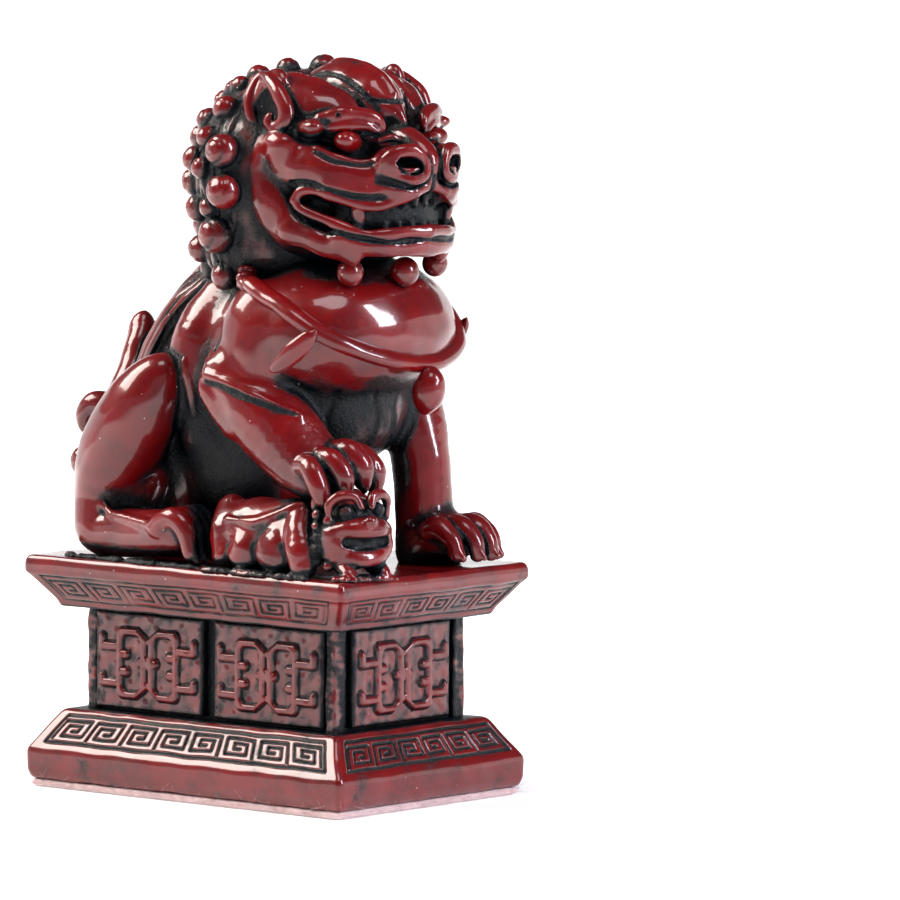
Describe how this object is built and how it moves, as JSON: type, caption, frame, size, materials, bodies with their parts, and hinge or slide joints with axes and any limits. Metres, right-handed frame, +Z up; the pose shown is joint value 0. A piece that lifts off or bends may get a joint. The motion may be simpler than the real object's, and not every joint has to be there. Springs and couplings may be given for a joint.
{
  "type": "foo dog statue",
  "caption": "Guardian lion seated with a forepaw on its cub, open mouth, curled mane, collar with bell and tassels, on a stepped pedestal with looped panels and a felt underside.",
  "frame": {"origin": "centre of the felt underside, on the surface that the statue stands on", "axes": "+Z up, the lion and the pedestal's short side face -Y, +X is the lion's left"},
  "size_m": [0.0611, 0.0887, 0.1489],
  "materials": {
    "figure_resin": "cast red resin, clear gloss varnish over a near-black wash rubbed into the hollows",
    "pedestal_resin": "cast red resin, gloss varnish, dark wash in the incised key fret and round the panels",
    "felt": "short pale felt glued under the pedestal"
  },
  "bodies": {
    "root": {"base_plinth": "pedestal_resin", "beard_curl_centre": "figure_resin", "beard_curl_left": "figure_resin", "beard_curl_right": "figure_resin", "brow_centre": "figure_resin", "brow_left": "figure_resin", "brow_right": "figure_resin", "chest_bib": "figure_resin", "collar_band": "figure_resin", "collar_bell": "figure_resin", "cornice": "pedestal_resin", "cub_body": "figure_resin", "cub_head": "figure_resin", "ear_left": "figure_resin", "ear_right": "figure_resin", "eye_left": "figure_resin", "eye_right": "figure_resin", "eyebrow_left": "figure_resin", "eyebrow_right": "figure_resin", "fang_left": "figure_resin", "fang_right": "figure_resin", "felt_pad": "felt", "foreleg_left": "figure_resin", "foreleg_right": "figure_resin", "forepaw_left": "figure_resin", "forepaw_right": "figure_resin", "head": "figure_resin", "hind_leg_left": "figure_resin", "hind_leg_right": "figure_resin", "hind_paw_left": "figure_resin", "hind_paw_right": "figure_resin", "lower_jaw": "figure_resin", "mane": "figure_resin", "nose": "figure_resin", "rear_tuft_left": "figure_resin", "rear_tuft_right": "figure_resin", "spine_mane": "figure_resin", "tail": "figure_resin", "tassel_left": "figure_resin", "tassel_right": "figure_resin", "tongue": "figure_resin", "torso": "figure_resin", "waist_block": "pedestal_resin", "waist_panel_back": "pedestal_resin", "waist_panel_front": "pedestal_resin", "waist_panel_left_front": "pedestal_resin", "waist_panel_left_rear": "pedestal_resin", "waist_panel_right_front": "pedestal_resin", "waist_panel_right_rear": "pedestal_resin"}
  },
  "joints": []
}
